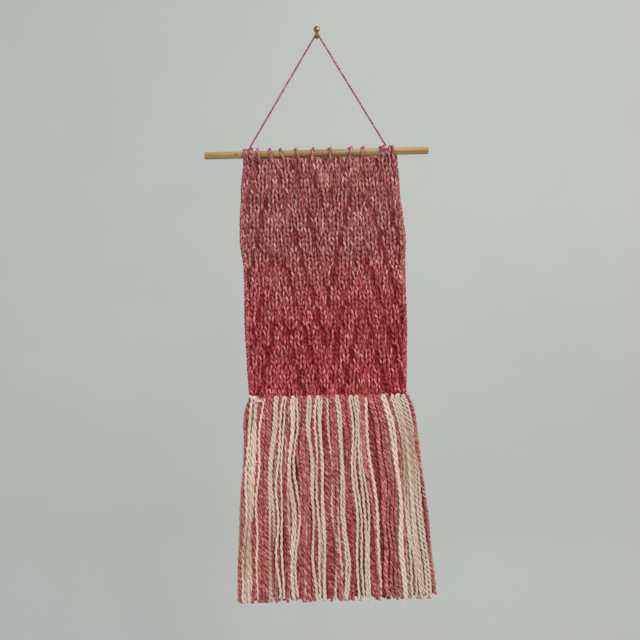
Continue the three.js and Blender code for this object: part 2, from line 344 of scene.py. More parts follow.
# Change of colour down the knit: heights in metres, unevenness in metres and its scale a metre.
OMBRE_TOP = -0.24
OMBRE_BOTTOM = -0.4
OMBRE_UNEVEN = 0.06
OMBRE_SCALE = 30.0
# Streaks in the yarn: scale round it, stretch along it a metre, and shift from strand to strand.
STREAK_SCALE = 1.15
STREAK_DETAIL = 2.5
MARL_STRETCH = 90.0
CREAM_STRETCH = 120.0
STREAK_SHIFT = 91.0
# Textures: scales a metre, depths in metres, and the fibres' share of the relief.
FIBRE_SCALE = 1300.0
FIBRE_SHARE = 0.7
FIBRE_DEPTH = 0.0004
SHADE_SHEET_SCALE = 260.0
SHADE_SHEET_DEPTH = 0.0006
GRAIN_SCALE = (7.0, 300.0, 300.0)
GRAIN_DEPTH = 0.0004
BROAD_GRAIN_SCALE = 14.0
WOOD_KNOT_SCALE = (280.0, 500.0, 500.0)
BRASS_SCALE = 420.0
BACKDROP_SCALE = 3.0

# Stage, in metres: a floor below the part's middle that turns up into a backdrop through a round cove.
FLOOR_DROP = 1.2
FLOOR_FRONT = -4.0
BACK_Y = 1.5
BACK_HEIGHT = 5.0
COVE_RADIUS = 0.5
COVE_STEPS = 12
STAGE_HALF_WIDTH = 30.0
SKY_COLOUR = (0.96, 0.98, 1.0, 1.0)
SKY_STRENGTH = 0.5
# Lamps: place, with the height from the part's middle, width in metres, power in watts and tint.
LAMPS = {
    "key_light": ((1.3, -1.8, 1.4), 1.6, 56.0, (1.0, 0.98, 0.95)),
    "fill_light": ((-1.8, -1.7, 0.1), 2.2, 16.0, (0.95, 0.98, 1.0)),
}
LAMP_AIM_Y = 0.4
SENSOR_WIDTH = 36.0


def linear(red, green, blue):
    """Turns an 8-bit screen colour into the linear colour that a node's socket takes."""
    channels = (red / 255, green / 255, blue / 255)
    return tuple(c / 12.92 if c <= 0.04045 else ((c + 0.055) / 1.055) ** 2.4 for c in channels)


def colour_property(name, description, screen_colour):
    return FloatVectorProperty(
        name=name,
        description=description,
        subtype="COLOR",
        size=3,
        min=0.0,
        max=1.0,
        default=linear(*screen_colour),
    )


def length_property(name, description, millimetres):
    return FloatProperty(name=name, description=description, unit="LENGTH", default=millimetres * MM)


class HangingKnitSettings(bpy.types.PropertyGroup):
    """Sizes and colours of the knitted panel."""

    rows: IntProperty(name="Rows", description="Rows of stitches, bottom to top", default=49, min=2)
    stitch_points: IntProperty(
        name="Stitch Points", description="Points along one stitch", default=16, min=8
    )
    yarn_radius: length_property("Yarn Radius", "Half the thickness of the knitting yarn", 2.1)
    knit_width: length_property("Knit Width", "Width of a knit column", 9.7)
    purl_width: length_property("Purl Width", "Width of a purl column, in the groove between ribs", 5.2)
    groove_depth: length_property("Groove Depth", "How far a purl column lies behind the ribs", 2.8)
    loop_depth: length_property("Loop Depth", "How far a stitch's legs stand in front of its ends", 2.0)
    mauve: colour_property("Mauve", "Main colour of the yarn in the upper part", (168, 97, 96))
    crimson: colour_property("Crimson", "Main colour of the yarn in the lower part", (177, 62, 70))
    blush: colour_property("Blush", "Light streaks of the yarn in the upper part", (222, 167, 163))
    pink: colour_property("Pink", "Light streaks of the yarn in the lower part", (230, 150, 153))
    # Wine and claret also colour the sheet of painted shade between the stitches.
    wine: colour_property("Wine", "Dark streaks of the yarn in the upper part", (116, 36, 38))
    claret: colour_property("Claret", "Dark streaks of the yarn in the lower part", (114, 14, 20))


class HangingFringeSettings(bpy.types.PropertyGroup):
    """Sizes and colours of the fringe."""

    cream_radius: length_property("Cream Radius", "Half the thickness of the cream yarn", 1.7)
    rose_radius: length_property("Rose Radius", "Half the thickness of the rose yarn", 1.8)
    tip_drop: length_property("Tip Drop", "Mean end of the strands below the dowel's axis", 608.0)
    tip_scatter: length_property("Tip Scatter", "How uneven the cut ends are", 4.0)
    sway: length_property("Sway", "How far the strands wander sideways together", 2.2)
    clumping: length_property("Clumping", "How far the ends draw together in clumps", 2.2)
    cream: colour_property("Cream", "Colour of the cream yarn", (231, 212, 197))
    rose: colour_property("Rose", "Main colour of the rose strands", (167, 67, 72))
    rose_light: colour_property("Rose Light", "Light streaks of the rose strands", (224, 158, 152))
    rose_dark: colour_property("Rose Dark", "Dark streaks of the rose strands", (122, 20, 32))


class HangingCordSettings(bpy.types.PropertyGroup):
    """Sizes of the hanging cord, its ties and the lashing yarn, and colours of the cord."""

    cord_radius: length_property("Cord Radius", "Half the thickness of the hanging cord", 1.2)
    lashing_radius: length_property("Lashing Radius", "Half the thickness of the lashing yarn", 1.7)
    tie_radius: length_property("Tie Radius", "Half the thickness of the yarn in the ties", 1.75)
    mauve: colour_property("Mauve", "Main colour of the cord", (146, 88, 98))
    mauve_light: colour_property("Mauve Light", "Light streaks of the cord", (196, 150, 156))
    mauve_dark: colour_property("Mauve Dark", "Dark streaks of the cord", (104, 46, 60))


class HangingHardwareSettings(bpy.types.PropertyGroup):
    """Colours of the dowel and the hook."""

    wood: colour_property("Wood", "Pale wood of the dowel", (178, 154, 108))
    grain: colour_property("Grain", "Darker grain of the dowel", (140, 112, 64))
    brass: colour_property("Brass", "Metal of the hook", (150, 120, 68))


class HangingStageSettings(bpy.types.PropertyGroup):
    """Place of the camera and tone of the stage."""

    camera_distance: length_property("Camera Distance", "From the lens to the hook's back", 950.0)
    camera_x: length_property("Camera X", "Camera to the side of the hook", -8.37)
    camera_z: length_property("Camera Z", "Camera above the hook", -400.1)
    camera_roll: FloatProperty(
        name="Camera Roll",
        description="How far the view is rolled",
        subtype="ANGLE",
        default=math.radians(1.87),
    )
    lens: FloatProperty(name="Lens", description="Focal length on a 36 mm wide frame", default=38.76)
    backdrop: colour_property("Backdrop", "Pale grey of the backdrop and floor", (203, 205, 202))


SETTINGS = {
    "hanging_knit": HangingKnitSettings,
    "hanging_fringe": HangingFringeSettings,
    "hanging_cord": HangingCordSettings,
    "hanging_hardware": HangingHardwareSettings,
    "hanging_stage": HangingStageSettings,
}


# Shape of the cloth

def axis_z(x):
    """Height of the dowel's axis at x."""
    return -DOWEL_DROP - math.tan(DOWEL_TILT) * (x - DOWEL_MIDDLE_X)


def cloth_z(x, drop):
    """Height on the cloth, a given way below the dowel's axis."""
    down = (drop - PANEL_TOP) / (PANEL_BOTTOM - PANEL_TOP)
    return axis_z(x) - drop + BOTTOM_SLOPE * (x - DOWEL_MIDDLE_X) * down


def edges_at(drop):
    """Left and right edge of the panel at one drop."""
    below = next((k for k, row in enumerate(OUTLINE) if row[0] >= drop), len(OUTLINE) - 1)
    upper = OUTLINE[max(below - 1, 0)]
    lower = OUTLINE[below]
    span = max(lower[0] - upper[0], 1e-6)
    share = min(max((drop - upper[0]) / span, 0.0), 1.0)
    eased = share * share * (3 - 2 * share)
    return upper[1] + (lower[1] - upper[1]) * eased, upper[2] + (lower[2] - upper[2]) * eased


def rib_shift(drop):
    """How far the ribs have moved out from their spine at one drop."""
    steps, along = divmod(drop / RIB_RISE, 1.0)
    aside = max(0.0, ROWS_A_RISE * along - (ROWS_A_RISE - 1))
    return RIB_LEAN * RIB_RISE * (steps + aside * aside * (3 - 2 * aside))


def spine_of(x):
    return LEFT_SPINE if x < VALLEY else RIGHT_SPINE


def cloth_waves(waves, x, drop):
    """Sum of waves at one place on the cloth."""
    return sum(size * math.sin(across * x + down * drop) for size, across, down in waves)


def from_groove(x, drop):
    """Distance from x to the nearest purl groove."""
    wobble = cloth_waves(WOBBLE_WAVES, x, drop)
    phase = (abs(x - spine_of(x)) - rib_shift(drop) + wobble) / RIB_PITCH
    return abs(phase - round(phase)) * RIB_PITCH


def groove_strength(x, drop):
    """Ribs show least near the dowel and on their spines, and unevenly everywhere."""
    first, last = GROOVE_DROPS
    down = min(1.0, max(0.0, (drop - first) / (last - first)))
    begun = min(1.0, abs(x - spine_of(x)) / SPINE_FADE)
    return begun * (GROOVE_START + GROOVE_GAIN * down + cloth_waves(STRENGTH_WAVES, x, drop))


def groove_at(x, drop, depth):
    """How far back the cloth goes at x."""
    return depth * groove_strength(x, drop) * math.exp(-((from_groove(x, drop) / GROOVE_WIDTH) ** 2))


# Node trees

class Graph:
    """Adds nodes to a tree and links them."""

    def __init__(self, tree):
        self.tree = tree

    def feed(self, socket, value):
        """Links a socket to another, or sets its value."""
        if isinstance(value, bpy.types.NodeSocket):
            self.tree.links.new(value, socket)
        else:
            socket.default_value = value

    def add(self, kind, inputs=None, **settings):
        """Makes a node. Inputs are sockets to link or values to set, by name or number."""
        node = self.tree.nodes.new(kind)
        for name, value in settings.items():
            setattr(node, name, value)
        for key, value in (inputs or {}).items():
            self.feed(node.inputs[key], value)
        return node

    def math(self, operation, first, second=0.0, third=0.0):
        return self.add("ShaderNodeMath", {0: first, 1: second, 2: third}, operation=operation).outputs[0]

    def mix(self, factor, first, second, blend="MIX"):
        """Mixes two colours."""
        node = self.add("ShaderNodeMix", {0: factor}, data_type="RGBA", blend_type=blend)
        self.feed(node.inputs[6], first)
        self.feed(node.inputs[7], second)
        return node.outputs[2]

    def ramp(self, value, stops):
        """Colour ramp through (place, colour) stops."""
        node = self.add("ShaderNodeValToRGB", {"Fac": value})
        elements = node.color_ramp.elements
        while len(elements) < len(stops):
            elements.new(0.5)
        for element, (place, colour) in zip(elements, stops):
            element.position = place
            element.color = colour
        return node.outputs["Color"]

    def noise(self, vector, scale, detail=2.0):
        inputs = {"Vector": vector, "Scale": scale, "Detail": detail}
        return self.add("ShaderNodeTexNoise", inputs).outputs["Fac"]

    def place(self):
        return self.add("ShaderNodeTexCoord").outputs["Object"]

    def attribute(self, name, output):
        """An attribute of the piece's own mesh."""
        node = self.add("ShaderNodeAttribute", attribute_name=name, attribute_type="GEOMETRY")
        return node.outputs[output]

    def vector_math(self, operation, output, inputs):
        return self.add("ShaderNodeVectorMath", inputs, operation=operation).outputs[output]


def opaque(colour, level=1.0):
    return (level * colour[0], level * colour[1], level * colour[2], 1.0)


def grey(level):
    return (level, level, level, 1.0)


def new_material(name, **shader_values):
    """A material with a Principled shader whose constant values are set on its own sockets."""
    material = bpy.data.materials.new(name)
    material.use_nodes = True
    shader = material.node_tree.nodes["Principled BSDF"]
    for socket, value in shader_values.items():
        shader.inputs[socket.replace("_", " ")].default_value = value
    return material, Graph(material.node_tree), shader


# Pieces

def add_object(name, data):
    piece = bpy.data.objects.new(name, data)
    bpy.context.scene.collection.objects.link(piece)
    return piece


def evaluated_mesh(piece):
    """A new mesh of an object, with its modifiers applied."""
    depsgraph = bpy.context.evaluated_depsgraph_get()
    return bpy.data.meshes.new_from_object(piece.evaluated_get(depsgraph), depsgraph=depsgraph)


def mesh_piece(name, mesh, material, sharp_angle=math.pi):
    """Makes an object of a finished bmesh."""
    bmesh.ops.recalc_face_normals(mesh, faces=mesh.faces)
    data = bpy.data.meshes.new(name)
    mesh.to_mesh(data)
    mesh.free()
    data.materials.append(material)
    data.shade_smooth()
    data.set_sharp_from_angle(angle=sharp_angle)
    return add_object(name, data)


def add_loops(mesh, loops):
    """Joins loops of vertices in a bmesh into a closed form with flat ends."""
    sides = len(loops[0])
    for here, there in zip(loops, loops[1:]):
        for side in range(sides):
            after = (side + 1) % sides
            mesh.faces.new((here[side], here[after], there[after], there[side]))
    mesh.faces.new(loops[0])
    mesh.faces.new(loops[-1])


def lathe(rings, sides, turn):
    """A closed turned form. Rings are (radius, along) in millimetres, from end to end."""
    mesh = bmesh.new()
    loops = []
    for radius, along in rings:
        angles = [math.tau * side / sides for side in range(sides)]
        spots = [Vector((along, radius * math.cos(a), radius * math.sin(a))) for a in angles]
        loops.append([mesh.verts.new((turn @ spot) * MM) for spot in spots])
    add_loops(mesh, loops)
    return mesh


def finish_piece(piece, slot, *nodes):
    """Fixes a piece to the part, in place of the solids it details."""
    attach(piece, "root")
    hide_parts(*nodes)


# Yarn

YARN_INPUTS = (
    ("Radius", "NodeSocketFloat", 0.002),
    ("Sides", "NodeSocketInt", 6),
    ("Plies", "NodeSocketInt", PLIES),
    ("Ply Depth", "NodeSocketFloat", 0.15),
    ("Turn Length", "NodeSocketFloat", 0.02),
    ("Material", "NodeSocketMaterial", None),
)


def plied_yarn_tree():
    """Sweeps a lobed section along polylines, twisted as plied yarn is.

    The angle round the yarn and the length along it are kept in the attribute ply, for the material.
    """
    tree = bpy.data.node_groups.new("Plied yarn", "GeometryNodeTree")
    tree.interface.new_socket("Lines", in_out="INPUT", socket_type="NodeSocketGeometry")
    for name, kind, default in YARN_INPUTS:
        socket = tree.interface.new_socket(name, in_out="INPUT", socket_type=kind)
        if default is not None:
            socket.default_value = default
    tree.interface.new_socket("Yarn", in_out="OUTPUT", socket_type="NodeSocketGeometry")
    graph = Graph(tree)
    given = graph.add("NodeGroupInput").outputs
    spline = graph.add("GeometryNodeSplineParameter").outputs

    angle = graph.math("MULTIPLY", spline["Factor"], math.tau)
    lobes = graph.math("COSINE", graph.math("MULTIPLY", angle, given["Plies"]))
    swell = graph.math("MULTIPLY_ADD", lobes, given["Ply Depth"], 1.0)
    circle = graph.add(
        "GeometryNodeCurvePrimitiveCircle", {"Resolution": given["Sides"], "Radius": given["Radius"]}
    )
    around = graph.add("GeometryNodeCaptureAttribute", {"Geometry": circle.outputs["Curve"]})
    for name, operation in (("Cosine", "COSINE"), ("Sine", "SINE")):
        around.capture_items.new("FLOAT", name)
        graph.feed(around.inputs[name], graph.math(operation, angle))
    position = graph.add("GeometryNodeInputPosition").outputs[0]
    lobed = graph.vector_math("SCALE", 0, {0: position, "Scale": swell})
    section = graph.add(
        "GeometryNodeSetPosition", {"Geometry": around.outputs["Geometry"], "Position": lobed}
    )

    lines = graph.add("GeometryNodeMeshToCurve", {"Mesh": given["Lines"]})
    measured = graph.add("GeometryNodeCaptureAttribute", {"Geometry": lines.outputs["Curve"]})
    measured.capture_items.new("FLOAT", "Length")
    graph.feed(measured.inputs["Length"], spline["Length"])
    tone = graph.add("GeometryNodeInputNamedAttribute", {"Name": "tone"}, data_type="FLOAT").outputs[0]
    longer = graph.math("MULTIPLY_ADD", tone, TURN_SPREAD, TURN_LEAST)
    turn = graph.math("MULTIPLY", given["Turn Length"], longer)
    turns = graph.math("MULTIPLY_ADD", tone, TURN_START, graph.math("DIVIDE", spline["Length"], turn))
    twisted = graph.add(
        "GeometryNodeSetCurveTilt",
        {"Curve": measured.outputs["Geometry"], "Tilt": graph.math("MULTIPLY", turns, -math.tau)},
    )
    thickness = graph.add("GeometryNodeInputNamedAttribute", {"Name": "thickness"}, data_type="FLOAT")
    swept = graph.add(
        "GeometryNodeCurveToMesh",
        {
            "Curve": twisted.outputs["Curve"],
            "Profile Curve": section.outputs["Geometry"],
            "Scale": thickness.outputs[0],
            "Fill Caps": True,
        },
    )
    ply = graph.add(
        "ShaderNodeCombineXYZ",
        {0: around.outputs["Cosine"], 1: around.outputs["Sine"], 2: measured.outputs["Length"]},
    )
    kept = graph.add(
        "GeometryNodeStoreNamedAttribute",
        {"Geometry": swept.outputs["Mesh"], "Name": "ply"},
        data_type="FLOAT_VECTOR",
        domain="POINT",
    )
    graph.feed(kept.inputs["Value"], ply.outputs[0])
    smooth = graph.add("GeometryNodeSetShadeSmooth", {"Geometry": kept.outputs["Geometry"]})
    real = graph.add("GeometryNodeRealizeInstances", {"Geometry": smooth.outputs["Geometry"]})
    finished = graph.add(
        "GeometryNodeSetMaterial", {"Geometry": real.outputs["Geometry"], "Material": given["Material"]}
    )
    graph.add("NodeGroupOutput", {0: finished.outputs["Geometry"]})
    return tree


def yarn_piece(name, strands, material, **sizes):
    """Makes one mesh of yarn along strands, each a tone and a line of points in millimetres."""
    points = []
    edges = []
    thickness = []
    tones = []
    for strand in strands:
        start = len(points)
        count = len(strand["points"])
        points.extend(np.asarray(strand["points"]) * MM)
        edges.extend((start + k, start + k + 1) for k in range(count - 1))
        thickness.extend(strand.get("thickness", [1.0] * count))
        tones.extend([strand["tone"]] * count)
    lines = bpy.data.meshes.new(name + "_lines")
    lines.from_pydata(points, edges, [])
    lines.attributes.new("thickness", "FLOAT", "POINT").data.foreach_set("value", thickness)
    lines.attributes.new("tone", "FLOAT", "POINT").data.foreach_set("value", tones)
    source = add_object(name + "_lines", lines)
    modifier = source.modifiers.new("Yarn", "NODES")
    modifier.node_group = bpy.data.node_groups.get("Plied yarn") or plied_yarn_tree()
    values = {key.replace("_", " ").title(): value for key, value in sizes.items()}
    values |= {"Plies": PLIES, "Material": material}
    for item in modifier.node_group.interface.items_tree:
        if item.in_out == "INPUT" and item.name in values:
            modifier[item.identifier] = values[item.name]
    mesh = evaluated_mesh(source)
    bpy.data.objects.remove(source)
    bpy.data.meshes.remove(lines)
    if not mesh.polygons:
        raise RuntimeError(f"{name} came out empty")
    mesh.name = name
    return add_object(name, mesh)


def smooth_path(points, step):
    """Points at an even step along a smooth curve through the given points."""
    given = np.asarray(points, float)
    ends = np.vstack([2 * given[0] - given[1], given, 2 * given[-1] - given[-2]])
    fine = []
    for before, here, there, after in zip(ends, ends[1:], ends[2:], ends[3:]):
        count = max(2, int(4 * np.linalg.norm(there - here) / step))
        t = np.linspace(0, 1, count, endpoint=False)[:, None]
        square = (2 * before - 5 * here + 4 * there - after) * t**2
        cube = (3 * here - before - 3 * there + after) * t**3
        fine.append(0.5 * (2 * here + (there - before) * t + square + cube))
    line = np.vstack(fine + [given[-1:]])
    run = np.concatenate([[0], np.cumsum(np.linalg.norm(np.diff(line, axis=0), axis=1))])
    places = np.linspace(0, run[-1], max(2, int(run[-1] / step)))
    return np.column_stack([np.interp(places, run, line[:, axis]) for axis in range(3)])


# Materials

def ply_height(graph):
    """How high the yarn's surface stands: 1 on a ply and 0 between plies."""
    parts = graph.add("ShaderNodeSeparateXYZ", {0: graph.attribute("ply", "Vector")}).outputs
    angle = graph.math("ARCTAN2", parts[1], parts[0])
    lobes = graph.math("COSINE", graph.math("MULTIPLY", angle, PLIES))
    return graph.math("MULTIPLY_ADD", lobes, 0.5, 0.5)


def streaks(graph, stretch):
    """Noise in streaks that wind along the yarn with its twist."""
    along = graph.math("MULTIPLY", graph.attribute("tone", "Fac"), STREAK_SHIFT)
    shift = graph.add("ShaderNodeCombineXYZ", {2: along}).outputs[0]
    inputs = {0: graph.attribute("ply", "Vector"), 1: (1.0, 1.0, stretch), 2: shift}
    return graph.noise(graph.vector_math("MULTIPLY_ADD", 0, inputs), STREAK_SCALE, STREAK_DETAIL)


def tone_level(graph, low, high):
    """A grey of each strand's own."""
    return graph.ramp(graph.attribute("tone", "Fac"), ((0.0, grey(low)), (1.0, grey(high))))


def feed_bump(graph, shader, height, strength, depth):
    bump = graph.add("ShaderNodeBump", {"Height": height, "Strength": strength, "Distance": depth})
    graph.feed(shader.inputs["Normal"], bump.outputs["Normal"])


def fibre_bump(graph, shader, height):
    """The plies' swell and fine fibres, as a bump."""
    fibres = graph.noise(graph.place(), FIBRE_SCALE)
    feed_bump(graph, shader, graph.math("MULTIPLY_ADD", fibres, FIBRE_SHARE, height), 0.5, FIBRE_DEPTH)


def cloth_shade(graph, face, deep):
    """Painted shade: white on the two faces of the cloth or fringe, and a deep tint between its yarns in
    the middle.
    """
    y = graph.add("ShaderNodeSeparateXYZ", {0: graph.place()}).outputs[1]
    away = graph.math("ABSOLUTE", graph.math("SUBTRACT", y, CLOTH_Y * MM))
    depth = graph.math("DIVIDE", away, face * MM)
    return graph.ramp(depth, ((0.12, opaque(deep)), (0.9, grey(1.0))))


def ombre_share(graph):
    """0 in the upper part of the cloth and 1 in the lower, with a soft uneven change between."""
    place = graph.place()
    z = graph.add("ShaderNodeSeparateXYZ", {0: place}).outputs[2]
    level = graph.math("MULTIPLY_ADD", graph.noise(place, OMBRE_SCALE), OMBRE_UNEVEN, z)
    return graph.add(
        "ShaderNodeMapRange",
        {"Value": level, "From Min": OMBRE_TOP, "From Max": OMBRE_BOTTOM},
        interpolation_type="SMOOTHSTEP",
    ).outputs[0]


def marled_material(name, main, light, dark, face=0.0, deep=KNIT_SHADE, pale=0.0):
    """Marled yarn: a main colour with light and dark streaks, given as two for a change down the cloth.

    Face is where the painted shade deep between the yarns ends, and pale is how far the palest strands go
    towards the light colour.
    """
    material, graph, shader = new_material(
        name, Roughness=0.95, Sheen_Weight=0.2, Sheen_Tint=(1.0, 0.6, 0.6, 1.0), Specular_IOR_Level=0.06
    )
    ombre = ombre_share(graph)
    marl = streaks(graph, MARL_STRETCH)
    dark_share = graph.ramp(marl, ((0.34, grey(1.0)), (0.46, grey(0.0))))
    light_share = graph.ramp(marl, ((0.5, grey(0.0)), (0.64, grey(1.0))))
    dyed = graph.mix(ombre, opaque(main[0]), opaque(main[-1]))
    own = graph.mix(tone_level(graph, 0.0, pale), dyed, opaque(light[0]))
    darkened = graph.mix(dark_share, own, graph.mix(ombre, opaque(dark[0]), opaque(dark[-1])))
    streaked = graph.mix(light_share, darkened, graph.mix(ombre, opaque(light[0]), opaque(light[-1])))
    height = ply_height(graph)
    # Painted shade between the plies, where the surface dips between them.
    shade = graph.ramp(height, ((0.0, grey(0.6)), (0.6, grey(1.0))))
    shaded = graph.mix(1.0, streaked, shade, "MULTIPLY")
    # Painted shade deep in the cloth, between its yarns.
    if face:
        shaded = graph.mix(1.0, shaded, cloth_shade(graph, face, deep), "MULTIPLY")
    toned = graph.mix(1.0, shaded, tone_level(graph, 0.92, 1.08), "MULTIPLY")
    graph.feed(shader.inputs["Base Color"], toned)
    fibre_bump(graph, shader, height)
    return material


def cream_material(fringe):
    """Cream plied yarn with a warm painted shade between the plies, and painted shade deep between its
    strands.
    """
    material, graph, shader = new_material(
        "Cream yarn", Roughness=0.92, Sheen_Weight=0.15, Sheen_Roughness=0.5, Specular_IOR_Level=0.12
    )
    warm = [tint * channel for tint, channel in zip(CREAM_STREAK, fringe.cream)]
    streaked = streaks(graph, CREAM_STRETCH)
    mottled = graph.ramp(streaked, ((0.35, opaque(warm)), (0.55, opaque(fringe.cream))))
    height = ply_height(graph)
    # Painted shade between the plies.
    shade = graph.ramp(height, ((0.0, opaque(CREAM_PLY_SHADE)), (0.5, grey(1.0))))
    lobed = graph.mix(1.0, mottled, shade, "MULTIPLY")
    # Painted shade deep in the fringe, between its strands.
    shaded = graph.mix(1.0, lobed, cloth_shade(graph, FRINGE_FACE, CREAM_SHADE), "MULTIPLY")
    toned = graph.mix(1.0, shaded, tone_level(graph, 0.82, 1.0), "MULTIPLY")
    graph.feed(shader.inputs["Base Color"], toned)
    fibre_bump(graph, shader, height)
    return material


def painted_shade_material(knit):
    """Painted deep shade of the cloth, on the sheet that shows between the stitches."""
    material, graph, shader = new_material("Shade in the knit", Roughness=1.0, Specular_IOR_Level=0.05)
    mottle = graph.noise(graph.place(), SHADE_SHEET_SCALE, 3.0)
    level = graph.ramp(mottle, ((0.35, grey(0.6)), (0.65, grey(1.0))))
    dyed = graph.mix(ombre_share(graph), opaque(knit.wine, 1.4), opaque(knit.claret, 1.4))
    graph.feed(shader.inputs["Base Color"], graph.mix(1.0, dyed, level, "MULTIPLY"))
    feed_bump(graph, shader, mottle, 0.6, SHADE_SHEET_DEPTH)
    return material


def wood_material(hardware):
    """Bare pale wood with its grain along the dowel and one small knot."""
    material, graph, shader = new_material("Bare wood", Roughness=0.6, Specular_IOR_Level=0.3)
    place = graph.place()
    along = graph.add("ShaderNodeMapping", {"Vector": place, "Scale": GRAIN_SCALE}).outputs[0]
    grain = graph.noise(along, 1.0, 6.0)
    broad = graph.noise(place, BROAD_GRAIN_SCALE)
    streak = graph.math("MULTIPLY_ADD", broad, 0.45, graph.math("MULTIPLY", grain, 0.75))
    colour = graph.ramp(streak, ((0.46, opaque(hardware.grain)), (0.74, opaque(hardware.wood))))
    knot_place = (WOOD_KNOT_X * MM, (CLOTH_Y - WOOD_KNOT_FRONT) * MM, axis_z(WOOD_KNOT_X) * MM)
    from_knot = graph.vector_math("SUBTRACT", 0, {0: place, 1: knot_place})
    squeezed = graph.vector_math("MULTIPLY", 0, {0: from_knot, 1: WOOD_KNOT_SCALE})
    away = graph.vector_math("LENGTH", "Value", {0: squeezed})
    spot = graph.ramp(away, ((0.45, grey(1.0)), (1.0, grey(0.0))))
    graph.feed(shader.inputs["Base Color"], graph.mix(spot, colour, opaque(hardware.grain, 0.6)))
    feed_bump(graph, shader, grain, 0.3, GRAIN_DEPTH)
    return material


def brass_material(hardware):
    """Brass with a slightly uneven polish."""
    material, graph, shader = new_material("Brass", Metallic=1.0)
    wear = graph.noise(graph.place(), BRASS_SCALE, 4.0)
    colour = graph.ramp(wear, ((0.35, opaque(hardware.brass, 0.65)), (0.6, opaque(hardware.brass))))
    graph.feed(shader.inputs["Base Color"], colour)
    rough = graph.add("ShaderNodeMapRange", {"Value": wear, "To Min": 0.42, "To Max": 0.22}).outputs[0]
    graph.feed(shader.inputs["Roughness"], rough)
    return material


def rose_yarn(context, in_cloth=False):
    """Yarn of the panel, which goes from mauve at the top to crimson lower down."""
    knit = context.scene.hanging_knit
    name = "Knitted yarn" if in_cloth else "Lashing yarn"
    made = bpy.data.materials.get(name)
    colours = ((knit.mauve, knit.crimson), (knit.blush, knit.pink), (knit.wine, knit.claret))
    # Yarn in the cloth and on the lashing gets painted shade where it lies near the cloth's middle.
    return made or marled_material(name, *colours, KNIT_FACE if in_cloth else LASHING_FACE)


# Knitted panel

def columns_at(drop, knit_width, purl_width, inset):
    """Edges of the stitch columns across the cloth at one drop."""
    left, right = edges_at(drop)
    left += inset
    right -= inset
    marks = [VALLEY]
    for spine, low, high in ((LEFT_SPINE, left, VALLEY), (RIGHT_SPINE, VALLEY, right)):
        groove = rib_shift(drop) % RIB_PITCH - RIB_PITCH
        while groove < max(high - spine, spine - low) + RIB_PITCH:
            first = groove + purl_width / 2
            for away in (first - purl_width, first, first + knit_width):
                sides = (spine - away, spine + away) if away > 0 else ()
                marks.extend(x for x in sides if low < x < high)
            groove += RIB_PITCH
    narrowest = NARROWEST * purl_width
    edges = [left]
    for mark in sorted(marks):
        width = mark - edges[-1]
        if width < narrowest or right - mark < narrowest:
            continue
        if width > WIDEST * knit_width:
            edges.append(edges[-1] + width / 2)
        edges.append(mark)
    return edges + [right]


def course_points(row, knit, draw):
    """Yarn of one row of stitches, from the left edge to the right."""
    pitch = (PANEL_BOTTOM - PANEL_TOP) / knit.rows
    drop = PANEL_BOTTOM - (row + 0.5) * pitch
    purl_width = knit.purl_width / MM
    edges = columns_at(drop, knit.knit_width / MM, purl_width, knit.yarn_radius / MM)
    faces = []
    for left, right in zip(edges, edges[1:]):
        x = (left + right) / 2
        in_groove = from_groove(x, drop) < purl_width / 2
        faces.append(1.0 - PURL_TURN * groove_strength(x, drop) * in_groove)
    last = len(faces) - 1
    steps = knit.stitch_points
    points = []
    for column in range(last + 1):
        width = edges[column + 1] - edges[column]
        tall = LOOP_HEIGHT * pitch * (1 + draw.gauss(0, HEIGHT_SPREAD))
        aside = draw.gauss(0, ASIDE_SPREAD)
        near = draw.gauss(0, DEPTH_SPREAD)
        for step in range(steps + (column == last)):
            share = step / steps
            angle = math.tau * share
            side = max(column - 1, 0) if share < 0.5 else min(column + 1, last)
            own = min(1.0, 0.5 + 2 * min(share, 1 - share))
            face = own * faces[column] + (1 - own) * faces[side]
            fade = math.sin(math.pi * share)
            fall = tall * math.cos(angle)
            x = edges[column] + width * (share + LOOP_SWAY * math.sin(2 * angle)) + fade * aside
            back = groove_at(x, drop + fall, knit.groove_depth / MM)
            y = CLOTH_Y + back + face * (knit.loop_depth / MM) * math.cos(2 * angle) + fade * near
            points.append((x, y, cloth_z(x, drop + fall)))
    at_right = row % 2 == 0
    x, y, z = points[-1 if at_right else 0]
    inside = x - ROW_TURN if at_right else x + ROW_TURN
    turn = [(inside, y, z + 0.3 * pitch), (inside, y, z + 0.7 * pitch), (x, y, z + pitch)]
    return points + turn if at_right else turn[::-1] + points


def twisted_pair(path, sideways, turn, reach, scale):
    """Two yarns twisted round each other along a path of points at an even millimetre step."""
    strands = []
    for start in (0.0, math.pi):
        points = []
        for k, (x, y, z) in enumerate(path):
            angle = start + math.tau * k / turn
            aside = reach * math.sin(angle)
            points.append((x + sideways[0] * aside, y + reach * math.cos(angle), z + sideways[1] * aside))
        strands.append({"points": points, "tone": 0.3 + 0.1 * start, "thickness": [scale] * len(points)})
    return strands


def cloth_edges():
    """Paths of the four edges of the cloth, by name, with a point every millimetre."""
    drops = np.arange(PANEL_TOP + SELVEDGE_MARGIN, PANEL_BOTTOM - SELVEDGE_MARGIN)
    lines = {
        "left": [(edges_at(drop)[0] + SELVEDGE_INSET, drop) for drop in drops],
        "right": [(edges_at(drop)[1] - SELVEDGE_INSET, drop) for drop in drops],
        "top": [(x, PANEL_TOP - SELVEDGE_LIFT) for x in np.arange(*edges_at(PANEL_TOP))],
        "bottom": [(x, PANEL_BOTTOM - SELVEDGE_MARGIN) for x in np.arange(*edges_at(PANEL_BOTTOM))],
    }
    paths = {}
    for name, line in lines.items():
        y = CLOTH_Y + SELVEDGE_DEPTHS[name]
        paths[name] = [(x, y, cloth_z(x, drop)) for x, drop in line]
    return paths


